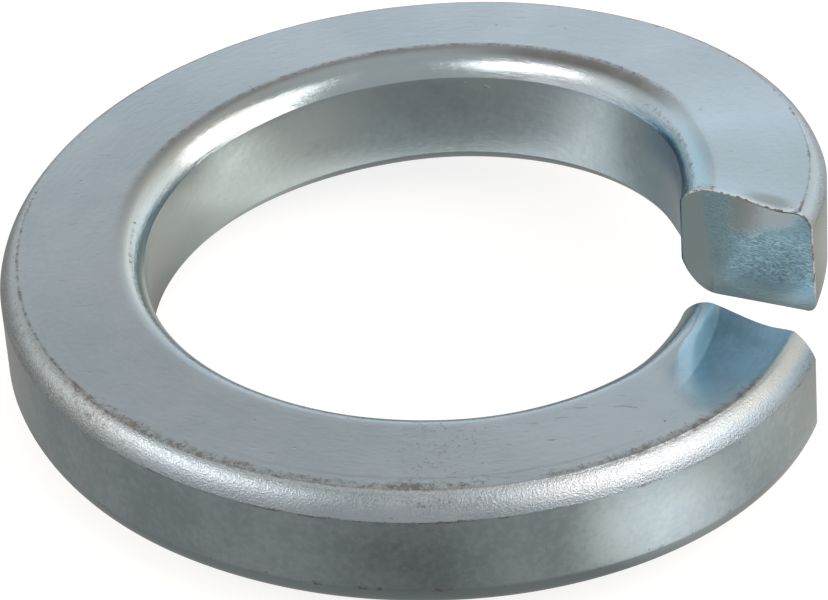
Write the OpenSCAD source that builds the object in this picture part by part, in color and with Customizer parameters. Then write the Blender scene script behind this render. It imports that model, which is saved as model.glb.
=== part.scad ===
// Spring lock washer. One turn of rounded rectangular wire is coiled to a left-hand helix,
// and both ends are sheared off on slanted planes. The bore and the outside are true cylinders.
// The frame has +Z along the bore, with the origin on the axis at half the coil's height.

/* [Ring] */
// Diameter of the bore
bore_d = 20.5; // [17:0.1:24]
// Width of the wire, from the bore to the outside
wire_w = 5.5; // [4.6:0.1:7]
// Height of the wire at the middle of its section
wire_h = 4.9; // [4.4:0.1:5.8]
// How much higher the wire is at the bore than at the outside
keystone = 0.44; // [0:0.02:0.6]

/* [Coil] */
// Height that the wire gains from its low end to its high end
rise = 5.2; // [3.8:0.1:6.5]
// Angle that the wire goes round, clockwise as seen from above
turn = 357.5; // [340:0.5:357.5]
// Place of the low end, anticlockwise from +X
low_end_at = -18.5; // [-40:0.5:40]

/* [Rounded edges] */
// Width of the round between the top and the outside
top_out_w = 0.7; // [0.4:0.02:1.1]
// Height of the round between the top and the outside
top_out_h = 0.92; // [0.4:0.02:1.2]
// Width of the round between the top and the bore
top_in_w = 1.06; // [0.5:0.02:1.3]
// Height of the round between the top and the bore
top_in_h = 0.94; // [0.5:0.02:1.2]
// Width of the round between the underside and the bore
low_in_w = 1; // [0.4:0.02:1.3]
// Height of the round between the underside and the bore
low_in_h = 0.66; // [0.4:0.02:1.2]
// Width of the round between the underside and the outside
low_out_w = 0.6; // [0.3:0.02:1]
// Height of the round between the underside and the outside
low_out_h = 0.8; // [0.3:0.02:1.1]
// Slope at which a round runs into a wall and leaves a crisp line, 0 for none
crease = 26; // [16:1:40]

/* [Sheared ends] */
// Turn of both cuts in plan, away from a true radius
cut_skew = 14; // [0:1:20]
// Lean of both cuts, away from upright
cut_lean = 4; // [-4:0.5:8]
// Length of the wire that a cut draws out of shape
drawn = 6; // [3:0.1:9]
// Height of the ridge that the cut raises beside the bore, at the low end
ridge = 0.36; // [0:0.02:0.5]
// Depth to which the cut presses the top down, at the high end
press = 0.28; // [0:0.02:0.5]
// Width of the wider round between the top and the bore, at both ends
drawn_in_w = 1.3; // [0.8:0.05:1.6]
// Width of the wider round between the top and the outside, at the high end
drawn_out_w = 0.95; // [0.5:0.05:1.3]
// Width of the rolled edge between the underside and the bore, at the high end
rolled_w = 1.3; // [0.8:0.05:1.8]
// Height of the rolled edge between the underside and the bore, at the high end
rolled_h = 1.3; // [0.8:0.05:2]
// Width and height of the tight edge between the underside and the outside, at the high end
tight = 0.4; // [0.24:0.02:0.6]

/* [Smoothness] */
// Steps in each rounded edge
round_steps = 4; // [3:1:6]
// Steps across the top
top_steps = 5; // [3:1:8]
// Steps along the coil, away from its ends
coil_steps = 79; // [48:1:100]
// Steps along each drawn end
end_steps = 5; // [3:1:8]

/* [Hidden] */
bore_r = bore_d / 2;
outer_r = bore_r + wire_w;
middle_r = bore_r + wire_w / 2;
// The swept wire passes both walls by this much, and the two cylinders trim it
trim = 0.15;
// Angle of the drawn ends at the middle of the wire
drawn_turn = drawn / middle_r * 180 / PI;
zinc = [0.68, 0.71, 0.73];

// Smooth step from 0 to 1
function ease(t) = let (c = max(0, min(1, t))) c * c * (3 - 2 * c);

// Half of the wire's height at a radius, more at the bore than at the outside
function half_height(r) = wire_h / 2 + keystone / 2 * (middle_r - r) / wire_w;

// Quarter round from a wall to a flat, as [radius, height] points from the wall inwards.
// The first point lies past the wall and the second short of it, so that the wall trims between them.
// side is 1 for the outside wall and -1 for the bore
function edge_round(wall_r, side, w, h) =
    let (a = w / cos(crease), b = h / (1 - sin(crease)), centre_r = wall_r - side * w)
    let (slope = b * cos(crease) / (a * sin(crease)), top = half_height(centre_r))
    concat(
        [[wall_r + side * trim, top - h - trim * slope]],
        [for (i = [0:round_steps]) let (t = crease + (90 - crease) * (i + 0.4) / (round_steps + 0.4))
            [centre_r + side * a * cos(t), top - b * (1 - sin(t))]]);

function flipped(points) = [for (i = [len(points) - 1:-1:0]) points[i]];
function mirrored(points) = [for (p = points) [p[0], -p[1]]];

// Lift of the top near a cut, for a place given as 0 at the bore and 1 at the outside.
// low and high are 1 at those ends and 0 away from them
function drawn_top(x, low, high) =
    low * ridge * (1 - ease((x - 0.15) / 0.5)) - high * press * ease((1 - x) / 0.25);

// Section of the wire, anticlockwise as [radius, height] points
function section(low, high) =
    let (
        mix = function (ring, end, share) ring + (end - ring) * share,
        top_out = edge_round(outer_r, 1, mix(top_out_w, drawn_out_w, high), top_out_h),
        top_in = edge_round(bore_r, -1, mix(top_in_w, drawn_in_w, max(low, high)), top_in_h),
        low_in = mirrored(edge_round(bore_r, -1, mix(low_in_w, rolled_w, high), mix(low_in_h, rolled_h, high))),
        low_out = mirrored(edge_round(outer_r, 1, mix(low_out_w, tight, high), mix(low_out_h, tight, high))),
        from = top_out[len(top_out) - 1],
        to = top_in[len(top_in) - 1],
        flat = [for (i = [1:top_steps - 1]) from + (to - from) * i / top_steps],
        top = concat(top_out, flat, flipped(top_in))
    )
    concat(
        [for (p = top) p + [0, drawn_top((p[0] - bore_r) / wire_w, low, high)]],
        low_in,
        flipped(low_out));

// Angle round the axis at which a section's point meets a cut's plane, past the cut's own place.
// The plane would be a true radius but for its skew and its lean, and both take its outside
// and its top further along the coil
function cut_offset(r, z) =
    cut_skew - asin((middle_r * sin(cut_skew) - z * tan(cut_lean)) / r);

// Turned angles of all sections: close together in the drawn ends and even between them
stations = concat(
    [for (i = [0:end_steps - 1]) drawn_turn * i / end_steps],
    [for (i = [0:coil_steps]) drawn_turn + (turn - 2 * drawn_turn) * i / coil_steps],
    [for (i = [1:end_steps]) turn - drawn_turn + drawn_turn * i / end_steps]);

// One section of the coil in space
function placed(turned) =
    let (
        low = ease(1 - turned / drawn_turn),
        high = ease(1 - (turn - turned) / drawn_turn),
        skewed = max(ease(1 - turned / (1.5 * drawn_turn)), ease(1 - (turn - turned) / (1.5 * drawn_turn)))
    )
    [for (p = section(low, high))
        let (
            at = turned + skewed * cut_offset(p[0], p[1]),
            angle = low_end_at - at,
            height = rise * (at / turn - 0.5)
        )
        [p[0] * cos(angle), p[0] * sin(angle), p[1] + height]];

function middle(points, i = 0, sum = [0, 0, 0]) =
    i == len(points) ? sum / len(points) : middle(points, i + 1, sum + points[i]);

// The coiled wire as one closed skin, a little past both walls
module coiled_wire() {
    rings = [for (s = stations) placed(s)];
    sides = len(rings[0]);
    last = len(rings) - 1;
    points = concat([for (ring = rings) each ring], [middle(rings[0]), middle(rings[last])]);
    low_middle = (last + 1) * sides;
    high_middle = low_middle + 1;
    skin = [for (i = [0:last - 1]) for (j = [0:sides - 1])
        let (k = (j + 1) % sides, a = i * sides, b = (i + 1) * sides)
        each [[a + j, b + j, b + k], [a + j, b + k, a + k]]];
    low_face = [for (j = [0:sides - 1]) [low_middle, j, (j + 1) % sides]];
    high_face = [for (j = [0:sides - 1]) [high_middle, last * sides + (j + 1) % sides, last * sides + j]];
    polyhedron(points, concat(skin, low_face, high_face), convexity = 6);
}

// The bore and the outside
module walls() {
    tall = 2 * (rise + wire_h);
    difference() {
        cylinder(r = outer_r, h = tall, center = true, $fn = 180);
        cylinder(r = bore_r, h = tall + 2, center = true, $fn = 180);
    }
}

module washer() {
    color(zinc)
    intersection() {
        coiled_wire();
        walls();
    }
}

washer();
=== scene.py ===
"""Spring lock washer: the skin of the coiled wire with its sheared ends, its worn zinc finish, and a plain studio."""
from math import asin, cos, degrees, pi, radians, sin, tan

import bpy
from mathutils import Matrix, Vector, noise


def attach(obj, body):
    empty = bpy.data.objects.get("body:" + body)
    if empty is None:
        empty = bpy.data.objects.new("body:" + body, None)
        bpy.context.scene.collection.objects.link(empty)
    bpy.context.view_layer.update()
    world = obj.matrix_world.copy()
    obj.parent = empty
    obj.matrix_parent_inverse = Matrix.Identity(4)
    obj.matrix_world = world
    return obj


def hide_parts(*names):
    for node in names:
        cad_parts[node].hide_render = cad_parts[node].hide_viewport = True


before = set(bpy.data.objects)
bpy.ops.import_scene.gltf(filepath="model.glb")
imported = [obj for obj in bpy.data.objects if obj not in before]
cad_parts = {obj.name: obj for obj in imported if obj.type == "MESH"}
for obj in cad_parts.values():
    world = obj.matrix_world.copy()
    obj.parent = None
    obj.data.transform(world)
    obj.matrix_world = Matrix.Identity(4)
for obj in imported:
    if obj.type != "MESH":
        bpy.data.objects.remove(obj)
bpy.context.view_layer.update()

# The part's own sizes, in mm and degrees
MM = 0.001
BORE_R = 10.25
WIRE_W = 5.5
WIRE_H = 4.9
KEYSTONE = 0.44
RISE = 5.2
TURN = 357.5
LOW_END_AT = -18.5
CREASE = radians(26)
CUT_SKEW = radians(14)
CUT_LEAN = radians(4)
DRAWN = 6.0
OUTER_R = BORE_R + WIRE_W
MIDDLE_R = BORE_R + WIRE_W / 2
DRAWN_TURN = degrees(DRAWN / MIDDLE_R)
LENGTH = radians(TURN) * MIDDLE_R

# Rounds of the wire as (width, height): away from the cuts, at the low end and at the high end
TOP_OUT = ((0.70, 0.92), (0.86, 1.05), (0.50, 0.58))
TOP_IN = ((1.06, 0.94), (1.25, 0.80), (1.40, 0.86))
LOW_IN = ((1.00, 0.66), (1.00, 0.66), (1.28, 1.28))
LOW_OUT = ((0.60, 0.80), (0.60, 0.80), (0.36, 0.34))
RIDGE = 0.36
CORNER_RIDGE = 0.10
PRESS = 0.27
CORNER_PRESS = 0.08
OUTSIDE_PULLED_IN = (0.31, 0.19)
BORE_PULLED_IN = 0.17
# Dip in the top within this length of the high end's cut
CLOSE = 0.7
DIP = 0.13
# Burr that the shear leaves along the top and the outside of the high end, and how far the faces roll back
BURR = 0.10
ROLL_BACK = 0.16

# Steps of the skin
ROUND_STEPS = 12
FLAT_STEPS = 16
WALL_STEPS = 12
COIL_STEPS = 620
END_STEPS = 44
CUT_SHARES = (0.982, 0.95, 0.91, 0.86, 0.78, 0.68, 0.56, 0.43, 0.3, 0.18, 0.08)


def ease(t):
    c = max(0.0, min(1.0, t))
    return c * c * (3 - 2 * c)


def blend3(values, low, high):
    """A round's width and height, between the ring's own and those of the two ends."""
    ring, at_low, at_high = values
    return [r + (a - r) * low + (b - r) * high for r, a, b in zip(ring, at_low, at_high)]


def half_height(r):
    return WIRE_H / 2 + KEYSTONE / 2 * (MIDDLE_R - r) / WIRE_W


def edge_round(wall_r, side, size, flat_break=0.0):
    """Points (radius, height) from a wall's crisp line over the round to the flat. flat_break is the
    angle in degrees at which the round meets the flat."""
    w, h = size
    last = radians(90 - flat_break)
    a, b = w / (cos(CREASE) - cos(last)), h / (sin(last) - sin(CREASE))
    top = half_height(wall_r - side * w)
    angles = [CREASE + (last - CREASE) * i / ROUND_STEPS for i in range(ROUND_STEPS + 1)]
    return [(wall_r - side * a * (cos(CREASE) - cos(t)), top - b * (sin(last) - sin(t))) for t in angles]


def between(a, b, steps):
    return [(a[0] + (b[0] - a[0]) * i / steps, a[1] + (b[1] - a[1]) * i / steps) for i in range(1, steps)]


def lifted(points, low, high, close):
    """The top as the cuts draw it: a ridge beside the bore at the low end, and pressed down at the high end."""
    out = []
    for r, z in points:
        x = (r - BORE_R) / WIRE_W
        up = low * (RIDGE * (1 - ease((x - 0.15) / 0.5)) + CORNER_RIDGE * ease((x - 0.66) / 0.18))
        down = high * (PRESS + CORNER_PRESS * ease((x - 0.6) / 0.2))
        dip = close * DIP * ease((x - 0.42) / 0.2) * (1 - ease((x - 0.7) / 0.12))
        out.append((r, z + up - down - dip))
    return out


def section(turned, wander=(0, 0, 0, 0)):
    """The wire's section at a place along the coil, as (radius, height, zone). The zone runs from 0 to 8
    round it: outer top round, top, inner top round, bore, inner low round, underside, outer low round, outside."""
    low = ease(1 - turned / DRAWN_TURN)
    high = ease(1 - (TURN - turned) / DRAWN_TURN)
    close = ease(1 - (TURN - turned) / degrees(CLOSE / MIDDLE_R))
    pulled = [OUTER_R - inset * high * high for inset in OUTSIDE_PULLED_IN]
    bore = BORE_R + BORE_PULLED_IN * low * low
    plain = 1 - max(low, high)
    sizes = [[s * (1 + w * plain) for s in blend3(v, low, high)]
             for v, w in zip((TOP_OUT, TOP_IN, LOW_IN, LOW_OUT), wander)]
    crisp = 9 + 13 * (1 - ease((turned - 30) / 60))
    top_out = edge_round(pulled[0], 1, sizes[0], crisp)
    top_in = edge_round(bore, -1, sizes[1])[::-1]
    top = between(top_out[-1], top_in[0], FLAT_STEPS)
    top_out, top, top_in = (lifted(part, low, high, close) for part in (top_out, top, top_in))
    low_in = [(r, -z) for r, z in edge_round(bore, -1, sizes[2])]
    low_out = [(r, -z) for r, z in edge_round(pulled[1], 1, sizes[3])][::-1]
    parts = [top_out, top, top_in, between(top_in[-1], low_in[0], WALL_STEPS), low_in,
             between(low_in[-1], low_out[0], FLAT_STEPS), low_out, between(low_out[-1], top_out[0], WALL_STEPS)]
    out = []
    for zone, part in enumerate(parts):
        for i, (r, z) in enumerate(part):
            share = i / (len(part) - 1) if zone % 2 == 0 else (i + 1) / (len(part) + 1)
            out.append((r, z, zone + share))
    return out


def place(r, z, turned, skewed, forward=0.0):
    """A section's point in space, in metres. forward moves it on along the coil, in mm."""
    reach = (MIDDLE_R * sin(CUT_SKEW) - z * tan(CUT_LEAN)) / r
    at = turned + skewed * degrees(CUT_SKEW - asin(reach)) + degrees(forward / r)
    angle = radians(LOW_END_AT - at)
    return Vector((r * cos(angle), r * sin(angle), z + RISE * (at / TURN - 0.5))) * MM


def burr(zone):
    """How far the burr stands out at a place round the section, in mm."""
    along_top = 1 - ease((zone - 2.1) / 0.5)
    along_outside = ease((zone - 7.1) / 0.3)
    bead = 0.8 * ease(1 - abs(zone - 0.62) / 0.3)
    ragged = 0.75 + 0.9 * noise.noise(Vector((zone * 13, 3.1, 0)))
    return BURR * max(along_top, along_outside) * (ragged + bead)


def rolled_back(r):
    """How far a sheared face lies behind its plane beside the bore, in mm."""
    return ROLL_BACK * max(0.0, 1 - (r - BORE_R) / WIRE_W / 0.25)


class Skin:
    """Points and faces of a mesh, with a kind for each face and two UV pairs for each of its corners."""

    def __init__(self):
        self.points, self.faces, self.kinds, self.wire, self.edge = [], [], [], [], []

    def add(self, kind, corners):
        self.faces.append([corner[0] for corner in corners])
        self.kinds.append(kind)
        self.wire += [corner[1] for corner in corners]
        self.edge += [corner[2] for corner in corners]


def coil_skin(skin):
    """The wire's skin. UV Wire is mm along the coil and the zone round it. Returns the first and the last ring."""
    stations = [DRAWN_TURN * i / END_STEPS for i in range(END_STEPS)]
    stations += [DRAWN_TURN + (TURN - 2 * DRAWN_TURN) * i / COIL_STEPS for i in range(COIL_STEPS)]
    stations += [TURN - DRAWN_TURN + DRAWN_TURN * i / END_STEPS for i in range(END_STEPS + 1)]
    rings = []
    for turned in stations:
        skewed = max(ease(1 - turned / (1.5 * DRAWN_TURN)), ease(1 - (TURN - turned) / (1.5 * DRAWN_TURN)))
        wander = [0.05 * noise.noise(Vector((turned * 0.045, 7.3 * k, 1.7))) for k in range(4)]
        ring = []
        for r, z, zone in section(turned, wander):
            out = burr(zone) if turned == stations[-1] else 0
            back = rolled_back(r) * (1 if turned == stations[-1] else -1 if turned == 0 else 0)
            skin.points.append(place(r, z + out * 0.5, turned, skewed, out - back))
            ring.append((len(skin.points) - 1, (radians(turned) * MIDDLE_R, zone), (0, 0)))
        index, (u, zone), edge = ring[0]
        ring.append((index, (u, 8.0), edge))
        rings.append(ring)
    for a, b in zip(rings, rings[1:]):
        for j in range(len(a) - 1):
            skin.add(0, (a[j], b[j], b[j + 1], a[j + 1]))
    return rings[0], rings[-1]


def cut_skin(skin, rim, end):
    """One sheared face, as rings that shrink from the section's edge to its middle. UV Wire is radius and
    height in mm. UV Edge is the share of the way out from the middle, and the zone."""
    outward = 1 if end else -1
    turned = TURN * end
    outline = section(turned)

    def corner(r, z, share, zone, index=None):
        rr = MIDDLE_R + (r - MIDDLE_R) * share
        zz = z * share
        if index is None:
            index = len(skin.points)
            skin.points.append(place(rr, zz, turned, 1, -outward * rolled_back(rr)))
        return index, (rr, zz), (share, zone)

    def add(*corners):
        skin.add(1, corners[::-outward])

    before = [corner(r, z, 1, zone, rim[j][0]) for j, (r, z, zone) in enumerate(outline)]
    before.append((before[0][0], before[0][1], (1, 8.0)))
    for share in CUT_SHARES:
        now = [corner(r, z, share, zone) for r, z, zone in outline]
        now.append((now[0][0], now[0][1], (share, 8.0)))
        for j in range(len(outline)):
            add(before[j + 1], before[j], now[j], now[j + 1])
        before = now
    middle = corner(MIDDLE_R, 0, 0, 0)
    for j in range(len(outline)):
        add(before[j + 1], before[j], middle)


def is_crisp(zone):
    """Whether a line along the wire is crisp: where a round meets a wall, and where the outer one meets the top."""
    return min(abs(zone - line) for line in (0, 1, 3, 4, 7)) < 1e-6


def make_washer():
    skin = Skin()
    rims = coil_skin(skin)
    for end, rim in enumerate(rims):
        cut_skin(skin, rim, end)
    mesh = bpy.data.meshes.new("wire")
    mesh.from_pydata(skin.points, [], skin.faces)
    for name, values in (("Wire", skin.wire), ("Edge", skin.edge)):
        layer = mesh.uv_layers.new(name=name)
        for corner, value in zip(layer.data, values):
            corner.uv = value
    for polygon, kind in zip(mesh.polygons, skin.kinds):
        polygon.use_smooth = True
        polygon.material_index = kind
    sides = len(rims[0]) - 1
    on_rim = {corner[0] for rim in rims for corner in rim}
    on_skin = max(on_rim)
    crisp = {j for j, corner in enumerate(rims[0][:-1]) if is_crisp(corner[1][1])}
    for edge in mesh.edges:
        a, b = edge.vertices
        along = max(a, b) <= on_skin and a % sides == b % sides and a % sides in crisp
        edge.use_edge_sharp = along or (a in on_rim and b in on_rim)
    washer = bpy.data.objects.new("washer_skin", mesh)
    bpy.context.scene.collection.objects.link(washer)
    return washer


class Graph:
    """Short calls for nodes."""

    def __init__(self, owner):
        owner.use_nodes = True
        self.tree = owner.node_tree
        self.tree.nodes.clear()

    def add(self, kind, inputs=None, **settings):
        node = self.tree.nodes.new(kind)
        for key, value in settings.items():
            setattr(node, key, value)
        for key, value in (inputs or {}).items():
            if hasattr(value, "is_output"):
                self.tree.links.new(value, node.inputs[key])
            else:
                node.inputs[key].default_value = value
        return node

    def math(self, operation, a, b=0.0, c=0.0, clamp=False):
        return self.add("ShaderNodeMath", {0: a, 1: b, 2: c}, operation=operation, use_clamp=clamp).outputs[0]

    def times(self, *values):
        out = values[0]
        for value in values[1:]:
            out = self.math("MULTIPLY", out, value)
        return out

    def total(self, *values):
        out = values[0]
        for value in values[1:]:
            out = self.math("ADD", out, value)
        return out

    def split(self, vector):
        return self.add("ShaderNodeSeparateXYZ", {0: vector}).outputs

    def scaled(self, vector, by):
        return self.add("ShaderNodeVectorMath", {0: vector, 1: by}, operation="MULTIPLY").outputs[0]

    def noise(self, vector, scale, detail=2.0, rough=0.5, distortion=0.0):
        inputs = {"Vector": vector, "Scale": scale, "Detail": detail, "Roughness": rough, "Distortion": distortion}
        return self.add("ShaderNodeTexNoise", inputs).outputs[0]

    def span(self, value, low, high, out_low=0.0, out_high=1.0, kind="SMOOTHSTEP"):
        inputs = {0: value, 1: low, 2: high, 3: out_low, 4: out_high}
        return self.add("ShaderNodeMapRange", inputs, interpolation_type=kind).outputs[0]

    def band(self, value, start, full, leave, end):
        """1 between full and leave, 0 before start and after end."""
        return self.times(self.span(value, start, full), self.span(value, leave, end, 1, 0))

    def mix(self, factor, a, b):
        node = self.add("ShaderNodeMix", {0: factor}, data_type="RGBA")
        for index, value in ((6, a), (7, b)):
            if hasattr(value, "is_output"):
                self.tree.links.new(value, node.inputs[index])
            else:
                node.inputs[index].default_value = (*value, 1)
        return node.outputs[2]

    def background_shown(self, place):
        """How much of the white background a ray sees: all of it to the camera, and in reflections as much as
        place says."""
        path = self.add("ShaderNodeLightPath").outputs
        reflected = self.total(path["Is Glossy Ray"], path["Is Transmission Ray"])
        return self.math("MAXIMUM", path["Is Camera Ray"], self.times(reflected, place))

    def burred(self, zone):
        """1 along the top and the outside, where a shear leaves its burr."""
        return self.math("MAXIMUM", self.span(zone, 2.5, 3.1, 1, 0), self.span(zone, 7.0, 7.3))

    def burr_pits(self, spot, zone):
        """Brown pits of the burr, most of them along the outside."""
        more = self.span(zone, 0.6, 1.0, 0.07, 0.0)
        return self.span(self.total(self.noise(spot, 5200, 2), more), 0.54, 0.60)

    def bump(self, height, distance):
        return self.add("ShaderNodeBump", {"Height": height, "Distance": distance}).outputs[0]

    def specks(self, vector, scale, size, few):
        """Round specks at random places. few is the share of places left out."""
        cells = self.add("ShaderNodeTexVoronoi", {"Vector": vector, "Scale": scale})
        kept = self.span(self.split(cells.outputs["Color"])[0], few, few + 0.02)
        return self.times(kept, self.span(cells.outputs["Distance"], size * 0.5, size, 1, 0))


def zinc_material():
    """Worn zinc plate. The bevels are rubbed and grainy, and brown stain follows the lines beside the flats. Several
    tones by place are painted light: highlights, reflections and shade.
    """
    material = bpy.data.materials.new("worn_zinc")
    g = Graph(material)
    spot = g.add("ShaderNodeTexCoord").outputs["Object"]
    uv = g.add("ShaderNodeUVMap", uv_map="Wire").outputs[0]
    along, zone, _ = g.split(uv)
    cloud = g.noise(spot, 210, 3)
    patch = g.noise(spot, 950, 4, 0.6)
    fine = g.noise(spot, 3800, 3, 0.6)
    grain = g.noise(spot, 13000, 2, 0.6)
    streak = g.noise(g.scaled(uv, (0.9, 11, 1)), 1.5, 4, 0.65, 0.6)
    dashes = g.noise(g.scaled(uv, (0.9, 0.3, 1)), 1.0, 3, 0.6)
    uneven = g.total(g.times(patch, 0.4), g.times(fine, 0.35), g.times(grain, 0.25))
    speckle = g.total(g.times(patch, 0.25), g.times(fine, 0.40), g.times(grain, 0.35))
    ragged = g.math("SUBTRACT", speckle, 0.5)

    # Where it is: the outer bevel, the inner round and the bore, the outer low edge, beside a cut
    bevel = g.span(zone, 0.9, 1.02, 1, 0)
    inside = g.band(zone, 1.9, 2.3, 3.9, 4.3)
    low_edge_dark_reflection = g.band(zone, 5.9, 6.0, 6.98, 7.04)
    last_mm = g.span(along, LENGTH - 1.4, LENGTH - 0.2)

    # Tones by place along the wire: warmer at the left of the bore, bluer at its right. Several of them are painted
    # light, named below
    color = g.mix(g.span(cloud, 0.35, 0.65), (0.387, 0.482, 0.552), (0.432, 0.526, 0.596))
    warm = g.times(g.band(along, 27, 35, 46, 55), inside)
    color = g.mix(g.times(warm, g.span(patch, 0.3, 0.7, 0.5, 0.9)), color, (0.451, 0.518, 0.512))
    # Painted light: a bright teal tone on the bore, in place of light reflected there
    teal_painted_light = g.times(g.band(zone, 2.5, 2.72, 3.25, 3.7), g.band(along, 14, 24, 37, 43))
    color = g.mix(g.times(teal_painted_light, g.span(zone, 3.0, 3.15, 0.85, 0.35)), color, (0.451, 0.694, 0.768))
    cool = g.times(g.total(g.times(g.span(along, 66, 76), g.span(zone, 2.6, 3.1)),
                           g.times(g.span(along, 72, 79), g.span(zone, 2.6, 3.1, 1, 0))), inside)
    color = g.mix(g.times(cool, 0.7), color, (0.31, 0.52, 0.64))
    round_right = g.times(g.band(zone, 2.3, 2.45, 2.8, 2.95), g.band(along, 61, 66, 70, 74))
    color = g.mix(g.times(round_right, 0.8), color, (0.33, 0.392, 0.415))
    # Painted highlight: a lighter tone on the inner round at the back
    round_back_highlight = g.times(g.band(zone, 2.2, 2.4, 2.95, 3.05), g.band(along, 49, 54, 60, 64))
    color = g.mix(g.times(round_back_highlight, 0.6), color, (0.50, 0.65, 0.71))
    # Painted highlight: a lighter tone on the inner round at the left
    round_left_highlight = g.times(g.band(zone, 2.2, 2.4, 2.85, 3.0), g.band(along, 27, 33, 45, 51))
    color = g.mix(g.times(round_left_highlight, 0.75), color, (0.66, 0.73, 0.72))
    bore_left = g.times(g.band(zone, 2.98, 3.05, 3.95, 4.1), g.band(along, 35, 40, 43, 47))
    color = g.mix(g.times(bore_left, 0.8), color, (0.37, 0.43, 0.42))
    bore_back_left = g.times(g.band(zone, 2.98, 3.05, 3.95, 4.1), g.band(along, 44, 48, 52, 57))
    color = g.mix(g.times(bore_back_left, 0.8), color, (0.49, 0.57, 0.58))
    blue_line = g.times(g.span(along, 70, 75), g.band(zone, 2.75, 2.96, 3.14, 3.6))
    color = g.mix(g.times(blue_line, 0.9), color, (0.0645, 0.212, 0.368))
    # Partly a beige tint, partly a painted highlight: a lighter beige along the bevel at the back right and beside
    # the low end
    beige_highlight = g.total(g.times(g.band(zone, 0.75, 0.88, 0.97, 1.03), g.band(along, 58, 64, 71, 74)),
                    g.times(g.band(zone, 0.3, 0.6, 0.97, 1.02), g.span(along, 2, 9, 1, 0)))
    color = g.mix(g.times(beige_highlight, 0.75), color, (0.542, 0.547, 0.496))
    # Painted highlight: the bevel beside the high end is painted pale and lighter
    pale = g.times(g.span(along, 71, 76), g.math("LESS_THAN", zone, 1.0))
    color = g.mix(g.times(pale, 0.6), color, (0.529, 0.642, 0.704))
    olive = g.times(g.total(g.span(along, 76, 80), g.span(along, 1, 6, 0.9, 0)), g.span(zone, 7.0, 7.2))
    color = g.mix(g.times(olive, 0.9), color, (0.305, 0.38, 0.375))
    grey = g.times(g.math("LESS_THAN", zone, 1.0), g.band(along, 24, 28, 38, 44))
    color = g.mix(g.times(grey, 0.85), color, (0.345, 0.385, 0.395))
    # Painted highlight: a light line along the bevel in front, just below the top
    painted_highlight_line = g.times(g.band(zone, 0.74, 0.86, 0.93, 0.98), g.band(along, 9, 13, 20, 24))
    color = g.mix(g.times(painted_highlight_line, 0.6), color, (0.581, 0.657, 0.696))
    # Painted highlight: a lighter stretch of the bevel at the front right
    bevel_painted_highlight = g.times(g.band(zone, 0.1, 0.3, 0.85, 0.97), g.band(along, 6, 8.5, 12, 15))
    color = g.mix(g.times(bevel_painted_highlight, 0.9), color, (0.47, 0.53, 0.575))
    # Painted light: the top flat beside the high end is painted lighter and bluer
    flat = g.band(zone, 1.0, 1.03, 1.97, 2.1)
    color = g.mix(g.times(flat, g.span(along, LENGTH - 11, LENGTH - 4), 0.8), color, (0.49, 0.642, 0.752))
    # Painted reflection of the cut face in the flat beside the low end: a light strip and a dark blue patch with a
    # slanted border
    slanted = g.total(zone, g.times(along, 0.066))
    by_low_end = g.times(g.span(along, 4.0, 6.6, 1, 0), g.span(zone, 1.0, 1.03))
    face_reflection_strip = g.times(g.band(slanted, 1.90, 1.96, 2.13, 2.24), by_low_end)
    color = g.mix(g.times(face_reflection_strip, 0.8), color, (0.27, 0.39, 0.49))
    color = g.mix(g.times(g.span(slanted, 1.91, 1.95, 1, 0), by_low_end, 0.9), color, (0.152, 0.245, 0.34))
    low_corner = g.times(g.band(zone, 2.2, 2.4, 2.9, 3.1), g.span(along, 2, 5, 1, 0))
    color = g.mix(g.times(low_corner, 0.7), color, (0.40, 0.56, 0.58))
    # Painted dark reflection along the outer low edge, of the shaded floor beneath it
    color = g.mix(g.times(low_edge_dark_reflection, 0.75), color, (0.271, 0.343, 0.376))
    streaky = g.span(g.total(g.times(streak, 0.55), g.times(patch, 0.45)), 0.36, 0.64)
    color = g.mix(g.times(streaky, 0.14), color, (0.516, 0.613, 0.688))

    # Painted shade, partly brown stain: along the inner round's upper line, darkest at the back right, and along the
    # outer line beside the low end
    edge_shade = g.times(g.band(zone, 0.80, 0.93, 1.01, 1.10), g.band(along, 0, 3, 9, 14), 0.5)
    soft = g.times(g.band(zone, 1.93, 2.03, 2.08, 2.28), g.band(along, 36, 46, 70, 76), 0.6)
    deep = g.times(g.band(zone, 1.97, 2.08, 2.32, 2.48), g.band(along, 58, 65, 70, 74), 0.9)
    shade = g.math("MAXIMUM", g.math("MAXIMUM", soft, deep), edge_shade)
    color = g.mix(g.times(shade, g.span(patch, 0.2, 0.6, 0.7, 1.0)), color, (0.206, 0.212, 0.212))
    # A faint darker line on the top, beside the outer line
    faint_line = g.times(g.band(zone, 1.13, 1.16, 1.17, 1.2), g.band(along, 7, 11, 19, 25))
    color = g.mix(g.times(faint_line, 0.14), color, (0.129, 0.146, 0.16))

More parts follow.
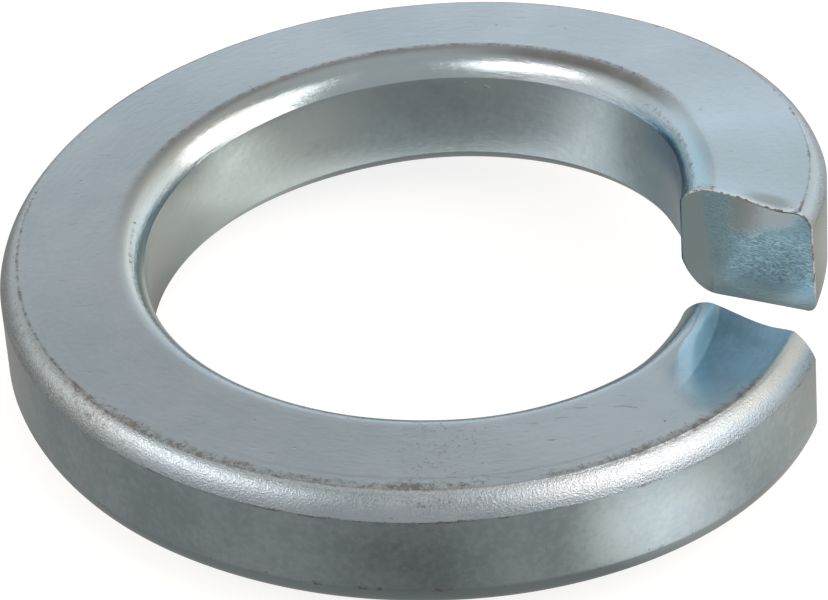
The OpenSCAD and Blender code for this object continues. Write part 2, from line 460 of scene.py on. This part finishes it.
    # Speckled stain: along the outer line, in patches on the flat in front, beside the cuts and at the low edge
    wide = g.math("MAXIMUM", g.band(along, 11, 18, 26, 31), g.times(g.band(along, 1.5, 4, 12, 15), 0.86))
    thin = g.total(0.34, g.times(0.30, g.band(along, 26, 29, 38, 42)), g.times(0.14, g.span(along, 66, 72)),
                   g.times(0.26, g.band(along, 3, 5, 9, 13)))
    at_bevel = g.math("MAXIMUM", g.times(g.band(zone, 0.80, 0.98, 1.03, 1.18), wide, 0.62),
                      g.times(g.band(zone, 0.93, 0.985, 1.01, 1.045), thin))
    on_bevel = g.times(g.band(zone, 0.25, 0.4, 0.6, 0.75), g.band(along, 13.5, 14.5, 16.5, 17.5), 0.42)
    mottled = g.times(g.band(zone, 0.05, 0.3, 0.92, 1.0), g.band(along, 23, 28, 33, 38), 0.40)
    at_round = g.times(g.band(zone, 1.94, 1.98, 2.02, 2.08), g.band(along, 36, 46, 70, 76), 0.54)
    on_round = g.total(g.times(g.band(zone, 2.5, 2.6, 2.66, 2.76), g.span(along, 68, 72), 0.48),
                       g.times(g.band(zone, 2.38, 2.46, 2.50, 2.58), g.band(along, 26, 31, 38, 43), 0.46))
    dashed = g.span(dashes, 0.45, 0.58)
    at_crease = g.times(g.total(g.span(zone, 7.95, 7.99), g.span(zone, 0.0, 0.06, 1, 0)), g.span(dashed, 0, 1, 0.30, 0.58),
                      g.total(1.0, g.times(0.3, g.band(along, 7, 10, 19, 24))))
    chips = g.times(g.band(zone, 6.93, 6.99, 7.03, 7.08), dashed, g.total(0.45, g.times(0.25, g.band(along, 10, 14, 20, 22))))
    apart = g.add("ShaderNodeVectorMath", {0: spot, 1: (0.0003, -0.0127, 0.0005)}, operation="DISTANCE")
    in_front = g.span(apart.outputs["Value"], 0.0012, 0.0034, 0.34, 0)
    by_cut = g.times(last_mm, g.band(zone, 0.7, 0.95, 1.08, 1.3), 0.42)
    notch = g.times(g.span(along, LENGTH - 1.0, LENGTH - 0.3), g.band(zone, 1.9, 2.05, 2.3, 2.6), 0.5)
    marked = g.total(at_bevel, on_bevel, mottled, at_round, on_round, at_crease, chips, in_front, by_cut, notch)
    stain = g.span(g.total(marked, g.times(ragged, 2.6)), 0.34, 0.92)
    rust = g.times(g.span(g.noise(spot, 3400, 2), 0.62, 0.70), stain, g.band(along, 18, 22, 34, 38))
    pits = g.specks(spot, 1500, 0.12, 0.9)
    scratched = g.times(g.span(g.noise(g.scaled(spot, (1100, 6400, 1100)), 1.0, 2, 0.6, 0.9), 0.65, 0.70),
                        g.band(zone, 1.02, 1.1, 1.9, 2.0), g.total(0.35, g.times(0.65, g.band(along, 5, 8, 16, 20))))

    # Rubbed grain of the bevels, and a smooth flat that mirrors the face above the low end
    rubbed = g.total(0.45, g.times(0.5, g.band(along, 18, 22, 30, 38)), g.times(0.6, g.band(along, 2, 4, 13, 17)))
    grainy = g.total(0.05, g.times(rubbed, bevel), g.times(g.band(zone, 2.0, 2.1, 2.9, 3.0), 0.12))
    mirror = g.times(g.span(along, 8, 11, 1, 0), g.band(zone, 1.0, 1.05, 2.2, 2.6))
    calm = g.span(g.math("MAXIMUM", g.span(zone, 2.9, 3.1), mirror), 0, 1, 0.35, 0.12)
    rough = g.total(g.span(uneven, 0.35, 0.65, 0.17, 0.25), g.times(bevel, g.span(grain, 0.4, 0.6, 0.25, 0.05)), g.times(stain, 0.2),
                    g.times(mirror, -0.07))
    height = g.total(g.times(streak, calm), g.times(fine, calm, 0.85), g.times(grain, grainy), g.times(pits, -0.4))
    wall_tone = g.total(g.times(cloud, 0.3), g.times(patch, 0.3), g.times(fine, 0.4))
    wall = g.span(zone, 7.0, 7.06)
    # Painted highlight: a lighter band on the outside wall at the front right
    color = g.mix(g.times(wall, g.band(along, 9.5, 11.5, 13.5, 16.5), 0.7), color, (0.53, 0.64, 0.70))
    color = g.mix(g.times(wall, g.span(wall_tone, 0.40, 0.55, 0.25, 0)), color, (0.27, 0.33, 0.35))
    color = g.mix(g.times(wall, g.span(wall_tone, 0.5, 0.62, 0, 0.25)), color, (0.56, 0.63, 0.64))
    color = g.mix(g.times(stain, 0.85), color, (0.129, 0.12, 0.104))
    color = g.mix(g.times(rust, 0.7), color, (0.258, 0.153, 0.088))
    color = g.mix(g.times(pits, 0.35), color, (0.194, 0.219, 0.24))
    color = g.mix(g.times(scratched, 0.4), color, (0.20, 0.22, 0.235))
    lip = g.times(g.span(along, LENGTH - 0.1, LENGTH - 0.06), g.burred(zone))
    pitted = g.times(lip, g.burr_pits(spot, zone))
    # The burr's lip is painted light grey, a painted highlight along the real burr, with brown pits
    color = g.mix(lip, color, (0.66, 0.68, 0.70))
    color = g.mix(pitted, color, (0.142, 0.12, 0.096))
    rough = g.span(lip, 0, 1, rough, 0.45)
    dull = g.math("MAXIMUM", g.times(stain, 0.25), g.times(lip, 0.6))
    shader = g.add("ShaderNodeBsdfPrincipled", {
        "Base Color": color, "Metallic": g.math("SUBTRACT", 1.0, dull), "Roughness": rough,
        "Normal": g.bump(height, 0.00002)})
    g.add("ShaderNodeOutputMaterial", {0: shader.outputs[0]})
    return material


def cut_material():
    """Sheared metal: fine ripples with painted glints on their crests, a plain strip beside the bore, and a pitted
    burr at the edge, painted bright as a highlight.
    """
    material = bpy.data.materials.new("sheared_zinc")
    g = Graph(material)
    uv = g.add("ShaderNodeUVMap", uv_map="Wire").outputs[0]
    radius, height, _ = g.split(uv)
    share, zone, _ = g.split(g.add("ShaderNodeUVMap", uv_map="Edge").outputs[0])
    spot = g.add("ShaderNodeTexCoord").outputs["Object"]
    ripple = g.noise(g.scaled(uv, (2.2, 8, 1)), 1.4, 3, 0.6, 2.0)
    fine = g.noise(spot, 9000, 2)
    border = g.total(radius, g.times(height, 0.1), g.times(g.noise(uv, 1.1, 2), 0.5))
    strip = g.span(border, BORE_R + 1.22, BORE_R + 1.48, 1, 0)
    slope = g.total(height, g.times(radius, -0.35))
    smooth_spot = g.times(g.band(radius, 11.7, 12.9, 14.4, 15.3), g.span(slope, -4.2, -3.4))
    plain = g.math("MAXIMUM", strip, smooth_spot)
    # Painted glints: light cyan on the ripple crests across the face
    bright = g.times(g.band(radius, 11.8, 13.2, 15.8, 16.5), g.band(height, -1.9, -0.9, 0.5, 1.3))
    color = g.mix(g.span(ripple, 0.3, 0.7), (0.26, 0.43, 0.50), (0.39, 0.59, 0.66))
    color = g.mix(g.times(bright, g.span(ripple, 0.45, 0.6)), color, (0.64, 0.87, 0.92))
    color = g.mix(g.times(g.span(height, -2.1, -1.0, 1, 0), 0.95), color, (0.54, 0.71, 0.77))
    color = g.mix(g.times(smooth_spot, 0.9), color, (0.42, 0.43, 0.42))
    color = g.mix(g.times(strip, 0.9), color, (0.41, 0.52, 0.57))
    # The burr's lip is painted near white, a painted highlight along the real burr, with brown pits
    lip = g.times(g.span(share, 0.978, 0.984), g.burred(zone))
    color = g.mix(lip, color, (0.90, 0.90, 0.88))
    color = g.mix(g.times(lip, g.burr_pits(spot, zone)), color, (0.22, 0.165, 0.12))
    bumps = g.total(g.times(ripple, g.span(plain, 0, 1, 0.8, 0.05)), g.times(fine, 0.2))
    shader = g.add("ShaderNodeBsdfPrincipled", {
        "Base Color": color, "Metallic": g.span(lip, 0, 1, 0.85, 0.35), "Roughness": g.span(lip, 0, 1, 0.28, 0.45),
        "Normal": g.bump(bumps, 0.00002)})
    g.add("ShaderNodeOutputMaterial", {0: shader.outputs[0]})
    return material


washer = make_washer()
washer.data.materials.append(zinc_material())
washer.data.materials.append(cut_material())
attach(washer, "root")
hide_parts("washer")

# Table plane. The free coil rests on its low end and half a turn on, so the plane leans against the row frame
climb = RISE / LENGTH
first = Vector((cos(radians(LOW_END_AT)), sin(radians(LOW_END_AT)), 0))
second = Vector((cos(radians(LOW_END_AT - 90)), sin(radians(LOW_END_AT - 90)), 0))
lean = (first * (-pi / 2) - second) * climb
table_up = Vector((-lean.x, -lean.y, 1)).normalized()
lowest = min(v.co.dot(table_up) for v in washer.data.vertices)

# What reflections see of the floor near the washer: its tone, and pools of light as (place, reach, gain) in mm
FLOOR_TONE = 0.35
POOLS = (((13.8, -16.0), 7.5, 1.06), ((19.5, -6.5), 12.0, 0.38), ((-1.5, -21.5), 8.0, -0.15),
         ((21.0, 7.0), 6.0, 0.29), ((32.0, 21.0), 12.0, 0.44), ((2.3, 6.1), 2.3, 1.06), ((0.2, 6.7), 2.0, 0.97),
         ((-2.0, 7.1), 2.4, 0.65), ((-4.5, 7.5), 4.5, 0.41), ((-8.0, 6.2), 3.2, 0.16), ((2.2, 2.6), 3.5, 0.21),
         ((-0.8, 1.0), 5.0, -0.09))


def make_floor(half=0.6):
    side = table_up.orthogonal().normalized()
    deep = table_up.cross(side)
    mid = table_up * (lowest - 0.00001)
    corners = [mid + side * x * half + deep * y * half for x, y in ((-1, -1), (1, -1), (1, 1), (-1, 1))]
    mesh = bpy.data.meshes.new("floor")
    mesh.from_pydata(corners, [], [(0, 1, 2, 3)])
    floor = bpy.data.objects.new("floor", mesh)
    bpy.context.scene.collection.objects.link(floor)
    if mesh.polygons[0].normal.z < 0:
        mesh.flip_normals()
    return floor


def floor_material():
    """White with the washer's shadow, to the camera and in reflections of what lies far off. Near the washer,
    reflections see a dimmer floor with pools of light on it. It is clear from below."""
    material = bpy.data.materials.new("pale_floor")
    g = Graph(material)
    spot = g.add("ShaderNodeTexCoord").outputs["Object"]
    away = g.add("ShaderNodeVectorMath", {0: spot}, operation="LENGTH").outputs["Value"]
    tone = FLOOR_TONE
    for at, reach, gain in POOLS:
        apart = g.add("ShaderNodeVectorMath", {0: g.scaled(spot, (1, 1, 0)), 1: (at[0] * MM, at[1] * MM, 0)},
                      operation="DISTANCE").outputs["Value"]
        tone = g.total(tone, g.span(apart, 0, reach * MM, gain, 0))
    lit = g.add("ShaderNodeBsdfDiffuse", {"Color": (0.35, 0.35, 0.35, 1)}).outputs[0]
    glow = g.add("ShaderNodeEmission", {"Color": (1, 1, 1, 1), "Strength": 0.8}).outputs[0]
    seen = g.add("ShaderNodeAddShader", {0: lit, 1: glow}).outputs[0]
    near = g.add("ShaderNodeEmission", {"Color": (1, 0.95, 0.87, 1), "Strength": tone}).outputs[0]
    shown = g.background_shown(g.span(away, 30 * MM, 300 * MM))
    both = g.add("ShaderNodeMixShader", {0: shown, 1: near, 2: seen}).outputs[0]
    under = g.add("ShaderNodeNewGeometry").outputs["Backfacing"]
    clear = g.add("ShaderNodeBsdfTransparent").outputs[0]
    out = g.add("ShaderNodeMixShader", {0: under, 1: both, 2: clear}).outputs[0]
    g.add("ShaderNodeOutputMaterial", {0: out})
    return material


def make_world():
    """White to the camera, and in reflections low down at the back. They see a dimmer room elsewhere."""
    world = bpy.data.worlds.new("studio")
    bpy.context.scene.world = world
    g = Graph(world)
    _, back, up = g.split(g.add("ShaderNodeTexCoord").outputs["Generated"])
    behind = g.span(back, -0.3, 0.4)
    room = g.mix(behind, (0.54, 0.49, 0.456), (0.62, 0.56, 0.51))
    shown = g.background_shown(g.times(behind, g.span(up, 0.34, 0.72, 1, 0, "LINEAR")))
    sky = g.add("ShaderNodeBackground", {0: g.mix(shown, room, (1, 1, 1)), 1: 1.0}).outputs[0]
    g.add("ShaderNodeOutputWorld", {0: sky})


LAMP_COLOR = (1, 0.88, 0.81)


def make_lamp(name, azimuth, elevation, distance, width, height, power):
    """A soft panel that faces the washer. Azimuth 0 is towards the camera's side and 90 is to its right."""
    a, e = radians(azimuth), radians(elevation)
    away = Vector((sin(a) * cos(e), -cos(a) * cos(e), sin(e)))
    data = bpy.data.lights.new(name, "AREA")
    data.shape = "RECTANGLE"
    data.size, data.size_y = width, height
    data.energy = power
    data.color = LAMP_COLOR
    lamp = bpy.data.objects.new(name, data)
    lamp.location = away * distance
    lamp.rotation_mode = "QUATERNION"
    lamp.rotation_quaternion = away.to_track_quat("Z", "Y")
    bpy.context.scene.collection.objects.link(lamp)


floor = make_floor()
floor.data.materials.append(floor_material())
make_world()
make_lamp("right_panel", 67, 31, 0.5, 0.48, 0.42, 1.63)
make_lamp("left_panel", -64, 36, 0.5, 0.40, 0.20, 0.70)
make_lamp("left_wide_panel", -82, 24, 0.5, 0.50, 0.36, 0.31)

# Camera, fitted to the photograph's outline and edge lines
ELEVATION = radians(33.13)
ROLL = radians(-3.773)
DISTANCE = 153.03
SCALE = 26.157
SHIFT_RIGHT, SHIFT_UP = -0.095, -0.908
FRAME_WIDTH = 828


def make_camera():
    back = Vector((0, -cos(ELEVATION), sin(ELEVATION)))
    right = Vector((1, 0, 0))
    up = back.cross(right)
    x = right * cos(ROLL) + up * sin(ROLL)
    y = up * cos(ROLL) - right * sin(ROLL)
    data = bpy.data.cameras.new("camera")
    data.sensor_fit = "HORIZONTAL"
    data.sensor_width = 36
    data.lens = 36 * SCALE * DISTANCE / FRAME_WIDTH
    data.clip_start, data.clip_end = 0.01, 10
    camera = bpy.data.objects.new("camera", data)
    stand = (back * DISTANCE + right * SHIFT_RIGHT + up * SHIFT_UP) * MM
    camera.matrix_world = Matrix.Translation(stand) @ Matrix((x, y, back)).transposed().to_4x4()
    bpy.context.scene.collection.objects.link(camera)
    bpy.context.scene.camera = camera


make_camera()
bpy.context.scene.view_settings.view_transform = "Standard"
